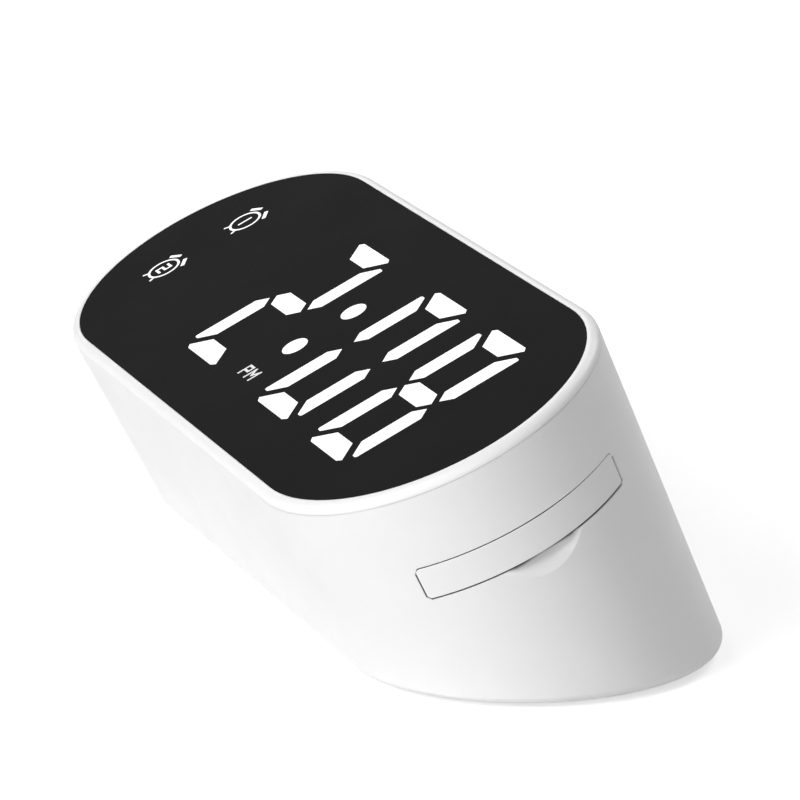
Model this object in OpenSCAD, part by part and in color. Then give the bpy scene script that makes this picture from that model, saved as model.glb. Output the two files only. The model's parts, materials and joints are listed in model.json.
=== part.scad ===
// Digital desk alarm clock: a pill-shaped case that leans towards the user,
// with a black display in its top face, a port flap in its right end,
// setting buttons in its back wall and a coin cell behind a door in its base.
// X runs along the display from left to right, -Y points at the user, +Z is up.
// Most pieces are drawn in the display's own frame, which face() puts in place.

/* [Case] */
// Length of the straight middle of the pill outline
straight_len = 93.4; // [92:0.1:97]
// Radius at the ends of the display lens
lens_r = 28.4; // [28:0.1:29]
// Width of the bezel's rim round the lens
rim_w = 2.1; // [2:0.1:2.5]
// Depth of the case behind the middle of the display
case_depth = 49.3; // [47:0.1:56]
// Tilt of the display from level
lean = 25.2; // [23:0.1:27]
// Draft of the walls, which narrow towards the base
draft = 2.15; // [1.8:0.05:2.4]
// Thickness of the case wall
wall = 2.8; // [2.6:0.1:3]
// Height of the bezel ring on the outside
parting = 1.9; // [1.7:0.1:2.4]
// Radius of the rounded display rim
rim_fillet = 1.7; // [1.2:0.1:1.7]
// Thickness of the display lens
lens_t = 1.2; // [1:0.1:1.3]
// How far the bezel's skirt reaches into the case
skirt_len = 4.1; // [3:0.1:5]

/* [Display] */
// Half of a digit's outer height
digit_hh = 17.9; // [17:0.1:19]
// Half of a digit's outer width
digit_hw = 8.6; // [8:0.05:9]
// Width of the level segments
seg_w = 4.2; // [3.8:0.1:4.6]
// Width of the upright segments
seg_v = 4.2; // [3.9:0.1:4.6]
// Dark gap between two segments
seg_gap = 1.6; // [1.3:0.1:1.8]
// Radius of a colon dot
dot_r = 2.4; // [2.2:0.1:2.8]
// Distance of each colon dot from the digits' middle
dot_y = 5.8; // [5:0.1:6.5]
// Place of the hour digit, as a share of the straight length
hour_share = -0.16; // [-0.165:0.0005:-0.156]
// Place of the colon, as a share of the straight length
colon_share = 0.0257; // [0.022:0.0001:0.03]
// Place of the first minute digit, as a share of the straight length
tens_share = 0.2151; // [0.205:0.0001:0.218]
// Place of the second minute digit, as a share of the straight length
ones_share = 0.4823; // [0.475:0.0001:0.485]
// Distance of the two alarm marks from the left end of the lens
mark_in = 16.7; // [16:0.1:17.5]
// Distance of each alarm mark from the display's middle line
mark_y = 8.5; // [8:0.1:10]
// Place of the afternoon mark below the colon
pm_y = -14.7; // [-15:0.1:-13]
// Depth of the reflector block
reflector_t = 6.0; // [5:0.1:6.4]

/* [Port flap] */
// Drop of the flap's top edge below the display
flap_drop = 14.2; // [14:0.1:15.5]
// Height of the flap
flap_h = 5.8; // [5.6:0.1:6.4]
// Sweep of the flap round the end of the case
flap_sweep = 76; // [66:1:80]
// Thickness of the flap
flap_t = 1.6; // [1.5:0.1:1.7]
// Gap all round the flap
flap_gap = 0.25; // [0.25:0.05:0.4]
// Cut across each corner of the flap
corner_len = 0.6; // [0.4:0.1:1]
// Radius of the nail scoop's round outline, most of it behind the flap
scoop_r = 19.2; // [18.6:0.1:19.8]
// Depth of the nail scoop's hollow at its middle, behind the flap
scoop_depth = 4.1; // [3.8:0.1:4.3]
// Radius of the hinge pin
pin_r = 0.75; // [0.6:0.05:0.9]

/* [Buttons] */
// Radius of a setting button
button_r = 4.0; // [3.5:0.1:4.5]
// Distance between two setting buttons
button_pitch = 14; // [12:0.5:16]
// Drop of the buttons below the display
button_drop = 20; // [19:0.5:24]
// How far a button stands proud
button_proud = 0.9; // [0.8:0.1:1.5]
// Travel of a button
button_travel = 0.8; // [0.4:0.1:1]

/* [Base] */
// Thickness of the base plate
base_t = 2.2; // [2:0.1:2.6]
// How far the rubber feet stand below the case
foot_drop = 0.6; // [0.4:0.1:1.5]
// Radius of a rubber foot
foot_r = 5; // [4:0.1:6]
// Radius of the battery door
door_r = 12.8; // [12.6:0.1:14]
// Height of the main board above the base plate
board_rise = 9.2; // [8.6:0.1:10]

/* [Hidden] */
$fn = 96;

far = 150;             // reach of a cut that passes right through
board_t = 1.6;         // every circuit board but the small socket board
bite = 4;              // screw length beyond a board
screw_pilot = 0.05;    // a screw's hole in plastic is this much wider
screw_pass = 0.2;      // and its hole through a board
clear = 0.15;          // running clearance round caps and doors
seat = 0.1;            // gap where a piece drops into its seat
lens_sink = 0.1;       // lens face below the rim
guide_gap = 0.05;      // round each light guide in its window
mark_sink = 0.4;       // depth of the printed marks' pockets
skirt_t = 1.6;
groove = 0.15;         // shadow line between bezel and housing
diffuser_t = 0.6;

rim_r = lens_r + rim_w;                  // case ends, at the display
hour_x = straight_len * hour_share;
colon_x = straight_len * colon_share;
tens_x = straight_len * tens_share;
ones_x = straight_len * ones_share;
mark_x = mark_in - straight_len / 2 - lens_r;

// Radii of the case at a height z below the display face
function ro(z) = rim_r + z * tan(draft);
function ri(z) = ro(z) - wall;

// Place of the display face over the ground, with the case centred in Y
rim_c = ro(-rim_fillet) - rim_fillet / cos(draft);
front_y = -rim_c * cos(lean) + rim_fillet * sin(lean) - rim_fillet;
back_z = -(case_depth + rim_r * tan(lean)) / (1 + tan(draft) * tan(lean));
back_y = ro(back_z) * cos(lean) - back_z * sin(lean);
face_y = -(front_y + back_y) / 2;
face_z = foot_drop + case_depth * cos(lean);
low_z = back_z - case_depth / 4;   // below the lowest point of any wall

module face() { translate([0, face_y, face_z]) rotate([lean, 0, 0]) children(); }

// Y of the case's middle line at a height above the ground
function axis_y(h) = face_y + (face_z - h) * tan(lean);

// A ring or solid with a pill outline: its profile is drawn in (radius, z)
module pill(len = straight_len) {
    for (s = [-1, 1]) {
        translate([s * len / 2, 0, 0]) rotate([0, 0, -s * 90]) rotate_extrude(angle = 180) children();
        mirror([0, s < 0 ? 1 : 0, 0])
            rotate([90, 0, 90]) linear_extrude(len, center = true) children();
    }
}

// Profile of a solid that fills the case out to a gap inside a surface
module full_profile(top, inset) {
    polygon([[0, low_z], [ro(low_z) - inset, low_z], [ro(top) - inset, top], [0, top]]);
}

function arc(c, r, from, to, n) =
    [for (i = [0:n]) let (a = from + (to - from) * i / n) c + r * [cos(a), sin(a)]];

// Outline moved outwards by d; the points run anticlockwise round a convex shape
function edge_normal(a, b) = [b.y - a.y, a.x - b.x] / norm(b - a);
function grown(p, d) = [for (i = [0:len(p) - 1])
    let (a = p[(i + len(p) - 1) % len(p)], b = p[i], c = p[(i + 1) % len(p)],
         m = edge_normal(a, b), n = edge_normal(b, c))
    b + d * (m + n) / (1 + m * n)];

// ---- Segments of a digit ----
mitre = seg_gap / 2 * sqrt(2);
inner_x = digit_hw - seg_v;
inner_y = digit_hh - seg_w;
tip_y = 1.1;           // tips of the upright segments above the middle line
corner_cut = 0.3;      // small cut at each outer corner of a digit
end_cut = 0.7;         // height of the cut at the ends of the top segment
end_in = 1.0;          // and how far it runs inwards
side_cut = 1.3;        // width of the cut at the top of an upright segment
tip_slant = 0.49;      // rise of an upright segment's tip, per width
middle_trim = 0.08;    // the middle segment is this much narrower each side
level_tip = inner_x + corner_cut + mitre;
up_top = inner_y - mitre - inner_x;      // the mitre line is y = x + up_top

function top_segment() = let (e = digit_hh - end_cut, x = inner_x - mitre)
    [[-x, inner_y], [x, inner_y], [x + e - inner_y, e], [x + e - inner_y - end_in, digit_hh],
     [-(x + e - inner_y - end_in), digit_hh], [-(x + e - inner_y), e]];
function middle_segment() = let (h = seg_w / 2 - middle_trim)
    [[-level_tip + h, -h], [level_tip - h, -h], [level_tip, 0],
     [level_tip - h, h], [-level_tip + h, h], [-level_tip, 0]];
function right_segment() = let (x = digit_hw, shoulder = tip_y + seg_v * tip_slant, a = x - side_cut)
    [[x - seg_v / 2, tip_y], [x, shoulder], [x, a + up_top - corner_cut],
     [x - corner_cut, a + up_top], [a, a + up_top], [inner_x, inner_x + up_top],
     [inner_x, shoulder]];

// Segments by letter: a top, b upper right, c lower right, d bottom, e lower left, f upper left, g middle
module segment(letter, d, gap = 0) {
    flip_x = letter == "e" || letter == "f";
    flip_y = letter == "c" || letter == "d" || letter == "e";
    outline = letter == "g" ? middle_segment()
        : letter == "a" || letter == "d" ? top_segment() : right_segment();
    mirror([flip_x ? 1 : 0, 0, 0]) mirror([0, flip_y ? 1 : 0, 0])
        linear_extrude(d) polygon(grown(outline, gap));
}

// Light guides of one digit, standing on the diffuser and flush with the lens
module digit(x, lit) {
    color("white") face() translate([x, 0, -lens_sink - lens_t])
        for (s = lit) segment(s, lens_t, -guide_gap);
}

hour_lit = ["a", "b", "g", "e", "d"];
tens_lit = ["a", "b", "c", "d", "e", "f"];
ones_lit = ["a", "b", "c", "d", "e", "f", "g"];

// ---- Display side ----
module bezel() {
    ledge = lens_sink + lens_t;
    skirt_r = ri(-parting - skirt_len) - seat;
    color("white") face() {
        difference() {
            pill() polygon(concat(
                [[lens_r + seat, 0]], arc([rim_c, -rim_fillet], rim_fillet, 90, -draft, 10),
                [[ro(-parting + groove), -parting + groove], [ro(-parting) - groove, -parting + groove],
                 [ro(-parting) - groove, -parting], [skirt_r, -parting],
                 [skirt_r, -parting - skirt_len], [skirt_r - skirt_t, -parting - skirt_len],
                 [skirt_r - skirt_t, -ledge], [lens_r + seat, -ledge]]));
        }
        for (p = display_posts) difference() {
            translate([p.x, p.y, display_board_z])
                cylinder(r = post_r, h = -ledge - display_board_z);
            translate([p.x, p.y, display_board_z - 1]) cylinder(r = screw_r + screw_pilot, h = bite + 2);
        }
    }
}

post_r = 2.6;
screw_r = 0.8;
post_root = 0.5;       // how far the posts run into the skirt
display_board_z = -lens_sink - lens_t - diffuser_t - reflector_t;
post_ring = ri(-parting - skirt_len) - seat - skirt_t - post_r + post_root;
post_angle = 57;
display_posts = [for (sx = [-1, 1], sy = [-1, 1])
    [sx * (straight_len / 2 + post_ring * cos(post_angle)), sy * post_ring * sin(post_angle)]];

module display_lens() {
    color([0.03, 0.03, 0.03]) face() translate([0, 0, -lens_sink - lens_t]) difference() {
        pill() square([lens_r, lens_t]);
        translate([0, 0, -1]) {
            for (s = hour_lit) translate([hour_x, 0, 0]) segment(s, lens_t + 2);
            for (s = tens_lit) translate([tens_x, 0, 0]) segment(s, lens_t + 2);
            for (s = ones_lit) translate([ones_x, 0, 0]) segment(s, lens_t + 2);
            for (s = [-1, 1]) translate([colon_x, s * dot_y, 0]) cylinder(r = dot_r, h = lens_t + 2);
        }
        translate([0, 0, lens_t - mark_sink]) {
            translate([colon_x, pm_y, 0]) pm_strokes(1, 0);
            for (s = [-1, 1]) translate([mark_x, s * mark_y, 0]) alarm_strokes(s > 0 ? 1 : 2, 1, 0);
        }
    }
}

module hour_digit() { digit(hour_x, hour_lit); }
module minute_tens_digit() { digit(tens_x, tens_lit); }
module minute_ones_digit() { digit(ones_x, ones_lit); }

module colon_dots() {
    color("white") face() for (s = [-1, 1])
        translate([colon_x, s * dot_y, -lens_sink - lens_t]) cylinder(r = dot_r - guide_gap, h = lens_t);
}

// A straight stroke between two points, with square ends
module stroke(a, b, w, d) {
    translate([a.x, a.y, 0]) rotate([0, 0, atan2(b.y - a.y, b.x - a.x)])
        translate([-w / 2, -w / 2, 0]) cube([norm(b - a) + w, w, d]);
}

// The marks' strokes are thinner by the gap than their pockets
mark_w = 0.55;
mark_r = 2.9;          // ring of an alarm mark
letter_hh = 1.2;       // half the height of a mark's letters and numbers
bell_out = 1.1;        // bells beyond the ring
bell_half = 0.95;
bell_more = 0.3;       // bells are this much thicker than the other strokes
leg_len = 1.0;
bell_turn = 34;        // bells and feet, from the mark's middle line
leg_turn = 28;
pm_half = 2.4;         // half the width of the afternoon mark
number_half = 0.8;     // half the width of a mark's number
letter_w = 1.6;        // width of the P
m_left = 0.35;         // left stroke of the M
m_mid = (m_left + pm_half) / 2;
m_dip = 0.2;

module pm_strokes(d, gap) {
    w = mark_w - 2 * gap;
    h = letter_hh;
    p_right = letter_w - pm_half;
    for (s = [[[-pm_half, -h], [-pm_half, h]], [[-pm_half, h], [p_right, h]], [[p_right, h], [p_right, 0]],
              [[-pm_half, 0], [p_right, 0]], [[m_left, -h], [m_left, h]], [[m_left, h], [m_mid, -m_dip]],
              [[m_mid, -m_dip], [pm_half, h]], [[pm_half, h], [pm_half, -h]]])
        stroke(s[0], s[1], w, d);
}

// Alarm clock mark: a ring with two bells, two feet and its number inside
module alarm_strokes(number, d, gap) {
    w = mark_w - 2 * gap;
    h = letter_hh;
    n = number_half;
    difference() {
        cylinder(r = mark_r + w / 2, h = d);
        translate([0, 0, -1]) cylinder(r = mark_r - w / 2, h = d + 2);
    }
    for (s = [-1, 1]) {
        rotate([0, 0, -s * bell_turn]) translate([0, mark_r + bell_out, 0])
            stroke([-bell_half, 0], [bell_half, 0], w + bell_more, d);
        rotate([0, 0, s * (180 - leg_turn)]) stroke([0, mark_r], [0, mark_r + leg_len], w, d);
    }
    digits = number == 1 ? [[[0, -h], [0, h]]]
        : [[[-n, h], [n, h]], [[n, h], [n, 0]], [[n, 0], [-n, 0]], [[-n, 0], [-n, -h]], [[-n, -h], [n, -h]]];
    for (s = digits) stroke(s[0], s[1], w, d);
}

module mark_place(x, y) { face() translate([x, y, -lens_sink - mark_sink]) children(); }
module pm_mark() { color("white") mark_place(colon_x, pm_y) pm_strokes(mark_sink, guide_gap); }
module alarm_mark_1() { color("white") mark_place(mark_x, mark_y) alarm_strokes(1, mark_sink, guide_gap); }
module alarm_mark_2() { color("white") mark_place(mark_x, -mark_y) alarm_strokes(2, mark_sink, guide_gap); }

module diffuser_sheet() {
    color([0.93, 0.93, 0.95]) face() difference() {
        translate([0, 0, -lens_sink - lens_t - diffuser_t])
            pill() square([ri(-parting - skirt_len) - seat - skirt_t - clear, diffuser_t]);
        for (p = display_posts) translate([p.x, p.y, display_board_z]) cylinder(r = post_r + clear, h = -display_board_z);
    }
}

// The light box: one cell for each segment, lit or not
lead_x = hour_x - (ones_x - tens_x);     // leading 1 of a two-figure hour
block_edge = 2.5;                        // block beyond the digits
block_x = ones_x + digit_hw + block_edge;
block_y = digit_hh + block_edge;
side_box = 6.5;                          // half height of each alarm mark's light box
mark_cell = [8.4, 9.2];                  // light cell behind an alarm mark
pm_cell = [7.6, 4.4];
cell_gap = 0.2;                          // the cells are this much wider than their windows
module cell(x, y, size) {
    translate([x - size.x / 2, y - size.y / 2, 0]) cube([size.x, size.y, reflector_t + 2]);
}
module reflector_block() {
    top = -lens_sink - lens_t - diffuser_t;
    mark_back = mark_x - mark_cell.x / 2 - 1;
    color([0.9, 0.9, 0.9]) face() difference() {
        translate([0, 0, top - reflector_t]) union() {
            translate([lead_x - digit_hw, -block_y, 0])
                cube([block_x - lead_x + digit_hw, 2 * block_y, reflector_t]);
            translate([mark_back, -mark_y - side_box, 0])
                cube([lead_x - digit_hw - mark_back, 2 * (mark_y + side_box), reflector_t]);
        }
        translate([0, 0, top - reflector_t - 1]) {
            for (x = [hour_x, tens_x, ones_x]) translate([x, 0, 0])
                for (s = ones_lit) segment(s, reflector_t + 2, cell_gap);
            translate([lead_x, 0, 0]) for (s = ["b", "c"]) segment(s, reflector_t + 2, cell_gap);
            for (s = [-1, 1]) {
                translate([colon_x, s * dot_y, 0]) cylinder(r = dot_r + cell_gap, h = reflector_t + 2);
                cell(mark_x, s * mark_y, mark_cell);
            }
            cell(colon_x, pm_y, pm_cell);
        }
    }
}
board_gap = 1.0;       // between the display board and the wall
hinge_clear = 1.0;     // between the display board's end and the flap's arms
led_up = 0.46;         // place of an upright segment's chip, as a share of the half height
module display_board() {
    display_end = hinge_x - arm_in - hinge_clear;
    color([0.05, 0.3, 0.15]) face() difference() {
        intersection() {
            translate([0, 0, display_board_z - board_t])
                pill() square([ri(display_board_z - board_t) - board_gap, board_t]);
            translate([-display_end, -far, -far]) cube([2 * display_end, 2 * far, 2 * far]);
        }
        for (p = display_posts) translate([p.x, p.y, 2 * display_board_z]) cylinder(r = screw_r + screw_pass, h = -2 * display_board_z);
    }
}

// Middle of each segment, for its LED
function seg_mid(s) = s == "g" ? [0, 0] : s == "a" ? [0, digit_hh - seg_w / 2]
    : s == "d" ? [0, seg_w / 2 - digit_hh]
    : [(s == "b" || s == "c" ? 1 : -1) * (digit_hw - seg_v / 2),
       (s == "b" || s == "f" ? 1 : -1) * digit_hh * led_up];
led_places = concat(
    [for (x = [hour_x, tens_x, ones_x], s = ones_lit) [x, 0] + seg_mid(s)],
    [for (s = ["b", "c"]) [lead_x, 0] + seg_mid(s)],
    [for (s = [-1, 1]) [colon_x, s * dot_y]],
    [for (s = [-1, 1]) [mark_x, s * mark_y]], [[colon_x, pm_y]]);
led_size = [2.8, 2.2, 0.9];
module led_chips() {
    color([0.98, 0.9, 0.6]) face() for (p = led_places)
        translate([p.x, p.y, display_board_z] - [led_size.x / 2, led_size.y / 2, 0]) cube(led_size);
}

// A pan-head screw along -Z: its head's seat is at the origin, its shank points up
module screw(len, r = screw_r, head_r = small_head.x, head_h = small_head.y) {
    slot = head_r * 0.24;
    reach = head_r * 1.2;
    difference() {
        union() {
            cylinder(r = r, h = len);
            translate([0, 0, -head_h]) cylinder(r = head_r, h = head_h);
        }
        for (a = [0, 90]) rotate([0, 0, a])
            translate([-slot / 2, -reach / 2, -1.5 * head_h]) cube([slot, reach, head_h]);
    }
}
small_head = [1.7, 1.2];
base_head = [2.3, 1.1];

module display_screws() {
    color("silver") face() for (p = display_posts)
        translate([p.x, p.y, display_board_z - board_t]) screw(board_t + bite);
}

// ---- Housing ----
flap_top = -flap_drop;
flap_low = -flap_drop - flap_h;
flap_bevel = 40;
behind_flap = 0.4;     // gap behind the flap
recess_depth = flap_t + behind_flap;
hinge_back = 4.2;      // pin behind the case's outer surface
hinge_up = 5.0;        // pin above the flap's top edge
hinge_x = straight_len / 2 + ro(flap_top) - hinge_back;
hinge_z = flap_top + hinge_up;
arm_y = 6.0;           // middle of each flap arm
arm_w = 1.6;
arm_in = 6.6;          // reach of the arms behind the pin
arm_t = 1.4;
arm_low = 8.2;         // reach of the arms below the pin
arm_play = 0.4;        // slots are this much wider than the arms, each side
barrel_t = 0.5;        // barrel of an arm round the pin
barrel_r = pin_r + barrel_t;
barrel_gap = 0.4;
ear_t = 1.5;
ear_gap = 0.2;
ear_in = arm_y + arm_w / 2 + ear_gap;
ear_edge = 0.3;        // ears beyond the barrels
ear_root = 1.2;        // ears end this far short of the wall's middle
floor_t = 2.0;         // wall behind the flap
floor_up = 2.2;        // it starts this far above the flap
floor_down = 5.0;      // and ends this far below
floor_side = 7;        // it is this many degrees wider each side
floor_back = recess_depth + floor_t;
slot_side = 3.0;       // reach of an arm's slot on the case's side of the pin
slot_end = 1.8;        // stock left at the slot's outer end
slot_drop = 2.7;       // slot below the arms
slot_step = 2.6;       // height of its upper, narrower part
slot_skin = 0.9;
usb_down = 0.1;        // socket's middle below the flap's
usb_z = flap_top - flap_h / 2 - usb_down;

module at_end() { translate([straight_len / 2, 0, 0]) children(); }
module sector(half) { rotate([0, 0, -half]) rotate_extrude(angle = 2 * half) children(); }
module at_hinge() { translate([hinge_x, 0, hinge_z]) children(); }
module along_y(r, half) { rotate([90, 0, 0]) cylinder(r = r, h = 2 * half, center = true); }

// Outward normal of the back wall, a depth below the display
module on_back(x, z) { translate([x, ro(z), z]) rotate([-90 - draft, 0, 0]) children(); }

// What is cut across the corners of a strip round the case's end; its top edge is bevelled
module corners(half, top, low, len) {
    for (s = [-1, 1]) at_end() rotate([0, 0, s * half]) mirror([0, s < 0 ? 1 : 0, 0]) {
        translate([ro(flap_top), 0, top]) rotate([0, -flap_bevel, 0]) corner(len);
        translate([ro(flap_low), 0, low]) mirror([0, 0, 1]) corner(len);
    }
}
module corner(len) {
    rotate([-45, 0, 0]) translate([-3 * flap_t, -2 * flap_t, -len / sqrt(2)]) cube([6 * flap_t, 4 * flap_t, 2 * flap_t]);
}

module flap_recess() {
    c = tan(flap_bevel);
    half = flap_sweep / 2 + asin(flap_gap / rim_r);
    difference() {
        at_end() sector(half) polygon([
            [ro(flap_top) + 1, flap_top + flap_gap + c],
            [ro(flap_top) - recess_depth, flap_top + flap_gap - recess_depth * c],
            [ro(flap_low) - recess_depth, flap_low - flap_gap], [ro(flap_low) + 1, flap_low - flap_gap]]);
        corners(half, flap_top + flap_gap, flap_low - flap_gap, corner_len + flap_gap * (2 - sqrt(2)));
    }
}

scoop_rise = 14.6;     // scoop's middle above the flap's lower edge
scoop_side = 1.5;      // and towards the back
scoop_in = 0.6;        // it runs this far under the flap
module nail_scoop() {
    sphere_r = (scoop_r * scoop_r + scoop_depth * scoop_depth) / (2 * scoop_depth);
    at_end() intersection() {
        translate([ro(flap_low) - scoop_depth + sphere_r, scoop_side, flap_low + scoop_rise])
            sphere(r = sphere_r, $fn = 160);
        translate([0, scoop_side - scoop_r, flap_low - scoop_r]) cube([far, 2 * scoop_r, scoop_r + scoop_in]);
    }
}

// Slots through the recess floor for the two flap arms
module arm_slots() {
    for (s = [-1, 1]) at_hinge() translate([0, s * arm_y, 0]) {
        wide = arm_w + 2 * arm_play;
        translate([-slot_side, -wide / 2, -arm_low - slot_drop])
            cube([slot_side + hinge_back - slot_end, wide, arm_low + slot_drop - hinge_up + 0.1]);
        translate([-slot_side, -wide / 2, -hinge_up - 0.1])
            cube([slot_side + hinge_back - wall - slot_skin, wide, slot_step]);
    }
}

usb_size = [7.3, 8.94, 3.26];
usb_in = 0.1;          // socket's mouth behind the recess floor
usb_play = 0.3;        // window round the socket
usb_shell = 0.3;
usb_tongue = [6.0, 6.7, 0.7];
usb_x = straight_len / 2 + ro(usb_z) - recess_depth - usb_in;
usb_board_size = [18, 9.6, 1.2];
usb_overhang = 2.2;    // socket beyond its board
usb_board_x = usb_x - usb_overhang;
shelf_t = 2.2;
shelf_w = 10;
shelf_rib = [1.6, 4];  // rib under the shelf
shelf_z = usb_z - usb_size.z / 2 - usb_board_size.z;
shelf_screw_in = 3;    // screw from the board's inner end
shelf_screw_x = usb_board_x - usb_board_size.x + shelf_screw_in;
shelf_boss = [2.2, 3]; // radius and height under the shelf

module usb_shelf() {
    at = usb_board_x - usb_board_size.x;
    reach = straight_len / 2 + ri(shelf_z) - at;
    translate([at, -shelf_w / 2, shelf_z - shelf_t]) cube([reach + 1, shelf_w, shelf_t]);
    translate([at, -shelf_rib.x / 2, shelf_z - shelf_t - shelf_rib.y]) cube([reach, shelf_rib.x, shelf_rib.y + 0.1]);
    translate([shelf_screw_x, 0, shelf_z - shelf_t - shelf_boss.y]) cylinder(r = shelf_boss.x, h = shelf_boss.y + 0.1);
}

module housing_inside_face() {
    // floor of the flap recess
    at_end() sector(flap_sweep / 2 + floor_side) polygon([
        [ro(flap_top) - floor_back, flap_top + floor_up], [ro(flap_top) - wall / 2, flap_top + floor_up],
        [ro(flap_low) - wall / 2, flap_low - floor_down], [ro(flap_low) - floor_back, flap_low - floor_down]]);
    // ears that carry the hinge pin
    for (s = [-1, 1]) at_hinge() translate([0, s * (ear_in + ear_t / 2), 0]) {
        ear_r = barrel_r + ear_edge;
        along_y(ear_r, ear_t / 2);
        translate([0, -ear_t / 2, -ear_r]) cube([hinge_back - wall / 2 - ear_root, ear_t, 2 * ear_r]);
    }
    usb_shelf();
    // posts for the key board
    for (s = [-1, 1]) on_back(s * key_screw_x, -button_drop)
        translate([0, 0, -key_board_in]) cylinder(r = board_post_r, h = key_board_in - wall / 2);
}

module housing_face_cuts() {
    flap_recess();
    nail_scoop();
    arm_slots();
    at_hinge() along_y(pin_r + pin_fit, ear_in + ear_t - pin_end / 2);
    at_hinge() along_y(barrel_r + barrel_gap, ear_in);
    translate([usb_x - usb_size.x - 1, -usb_size.y / 2 - usb_play, usb_z - usb_size.z / 2 - usb_play])
        cube([usb_size.x + 3, usb_size.y + 2 * usb_play, usb_size.z + 2 * usb_play]);
    translate([usb_board_x - far / 5, -usb_board_size.y / 2 - screw_pass, shelf_z])
        cube([far / 5 + screw_pass, usb_board_size.y + 2 * screw_pass, usb_size.z]);
    translate([shelf_screw_x, 0, shelf_z - shelf_t - shelf_boss.y]) cylinder(r = screw_r + screw_pilot, h = far / 20);
    for (i = [0:3]) on_back(button_x(i), -button_drop)
        translate([0, 0, -2 * wall]) cylinder(r = button_r + clear, h = 4 * wall);
    for (s = [-1, 1]) on_back(s * key_screw_x, -button_drop)
        translate([0, 0, -key_board_in - 1]) cylinder(r = screw_r + screw_pilot, h = bite + 2);
}

plate_low = foot_drop + 0.3;
plate_top = plate_low + base_t;
boss_out = 13.3;       // bosses beyond the straight part
boss_x = straight_len / 2 + boss_out;
boss_dy = 12;
boss_r = 3;
boss_h = 13;
boss_rib = 1.6;
board_post_r = 2.4;    // posts under the boards
head_in = 1.2;         // seat of a base screw's head, in the plate
pin_fit = 0.02;
pin_play = 0.05;       // running fit of the flap on its pin
base_bite = 7;         // base screws into their bosses
pin_end = 0.2;         // pin ends this far inside the ears' outer faces
base_screw_r = 1.2;
function boss_places() = [for (sx = [-1, 1], sy = [-1, 1]) [sx * boss_x, axis_y(0) + sy * boss_dy]];

module base_bosses() {
    for (p = boss_places()) translate([p.x, p.y, plate_top]) {
        cylinder(r = boss_r, h = boss_h);
        translate([p.x > 0 ? 0 : -rim_r, -boss_rib / 2, 0]) cube([rim_r, boss_rib, boss_h]);
    }
}

module housing() {
    color("white") difference() {
        union() {
            face() pill() polygon([[ri(low_z), low_z], [ro(low_z), low_z],
                [ro(-parting), -parting], [ri(-parting), -parting]]);
            face() housing_inside_face();
            intersection() {
                base_bosses();
                face() pill() full_profile(-parting, wall / 2);
            }
        }
        translate([-far, -far, foot_drop - far]) cube([2 * far, 2 * far, far]);
        face() housing_face_cuts();
        for (p = boss_places()) translate([p.x, p.y, plate_top - 1]) cylinder(r = base_screw_r + screw_pilot, h = base_bite + 2);
    }
}

// ---- Port flap and its socket ----
module port_flap() {
    c = tan(flap_bevel);
    color("white") face() difference() {
        union() {
            difference() {
                at_end() sector(flap_sweep / 2) polygon([
                    [ro(flap_top), flap_top], [ro(flap_top) - flap_t, flap_top - flap_t * c],
                    [ro(flap_low) - flap_t, flap_low], [ro(flap_low), flap_low]]);
                corners(flap_sweep / 2, flap_top, flap_low, corner_len);
            }
            for (s = [-1, 1]) at_hinge() translate([0, s * arm_y - arm_w / 2, 0]) {
                translate([0, arm_w / 2, 0]) along_y(barrel_r, arm_w / 2);
                translate([-arm_in, 0, -arm_t / 2]) cube([arm_in, arm_w, arm_t]);
                translate([-arm_in, 0, -arm_low]) cube([arm_t, arm_w, arm_low + arm_t / 2]);
                translate([-arm_in, 0, -arm_low]) cube([arm_in + hinge_back - flap_t + 0.1, arm_w, arm_t]);
            }
        }
        at_hinge() along_y(pin_r + pin_play, arm_y + arm_w);
    }
}

module hinge_pin() {
    color("silver") face() at_hinge() along_y(pin_r, ear_in + ear_t - pin_end);
}

// Outline with round ends, along Y, extruded along -X from the origin
module round_bar(len, wide, high) {
    translate([-len, 0, 0]) rotate([90, 0, 90]) linear_extrude(len) {
        square([wide - high, high], center = true);
        for (s = [-1, 1]) translate([s * (wide - high) / 2, 0]) circle(d = high, $fn = 32);
    }
}

module usb_socket() {
    back = 1.0;            // thickness of the socket's back
    color("silver") face() translate([usb_x, 0, usb_z]) {
        difference() {
            round_bar(usb_size.x, usb_size.y, usb_size.z);
            translate([back / 2, 0, 0])
                round_bar(usb_size.x - back / 2, usb_size.y - 2 * usb_shell, usb_size.z - 2 * usb_shell);
        }
        translate([back / 2 - usb_size.x, -usb_tongue.y / 2, -usb_tongue.z / 2]) cube(usb_tongue);
    }
}

module usb_board() {
    color([0.05, 0.3, 0.15]) face() difference() {
        translate([usb_board_x - usb_board_size.x, -usb_board_size.y / 2, shelf_z]) cube(usb_board_size);
        translate([shelf_screw_x, 0, shelf_z - 1]) cylinder(r = screw_r + screw_pass, h = usb_board_size.z + 2);
    }
}

module usb_board_screw() {
    color("silver") face() translate([shelf_screw_x, 0, shelf_z + usb_board_size.z])
        mirror([0, 0, 1]) screw(usb_board_size.z + shelf_t + 0.8);
}

// ---- Buttons in the back wall ----
function button_x(i) = (i - 1.5) * button_pitch;
flange_t = 0.8;
flange_out = 1.0;      // flange beyond the button
flange_gap = 0.1;      // between flange and wall, at rest
cap_edge = 0.4;        // bevel of the button's face
stem_r = 1.5;
stem_len = 0.9;
switch_size = [6, 6, 3.1];
plunger_r = 1.75;
plunger_h = 0.7;
press_gap = 0.05;      // left between stem and plunger at full travel
stem_end = wall + flange_gap + flange_t + stem_len;
key_board_in = stem_end + button_travel + press_gap + plunger_h + switch_size.z;
key_screw_out = 9;     // screws beyond the outer switches
key_screw_x = 1.5 * button_pitch + key_screw_out;
key_board_w = 10;
key_board_end = 3.5;   // board beyond its screws

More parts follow.
